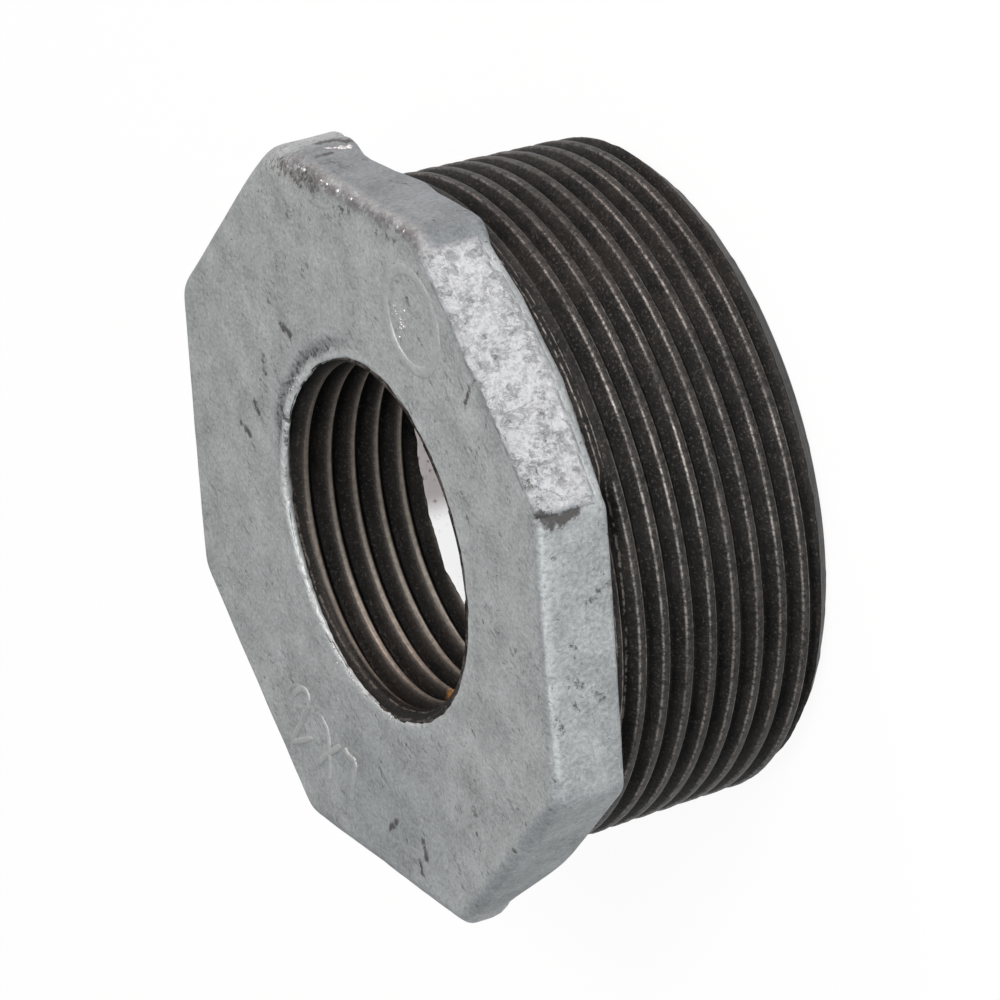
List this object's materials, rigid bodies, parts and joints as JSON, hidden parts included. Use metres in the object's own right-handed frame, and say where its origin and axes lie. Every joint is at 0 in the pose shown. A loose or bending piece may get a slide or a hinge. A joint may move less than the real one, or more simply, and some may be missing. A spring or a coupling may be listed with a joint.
{
  "type": "threaded reducing bush",
  "caption": "Galvanised pipe reducing bush: octagonal head, tapered outside thread, threaded bore through the middle and a cored recess behind it.",
  "frame": {"origin": "centre of the outside thread's end face, on the turned axis that both threads share", "axes": "+Z along the turned axis from the thread's end face up to the head's face; +X square to the head flat that lies nearest the axis"},
  "size_m": [0.0651, 0.065, 0.029],
  "materials": {
    "zinc": "hot-dip galvanised casting with bare, oily threads"
  },
  "bodies": {
    "root": {"bushing": "zinc"}
  },
  "joints": []
}
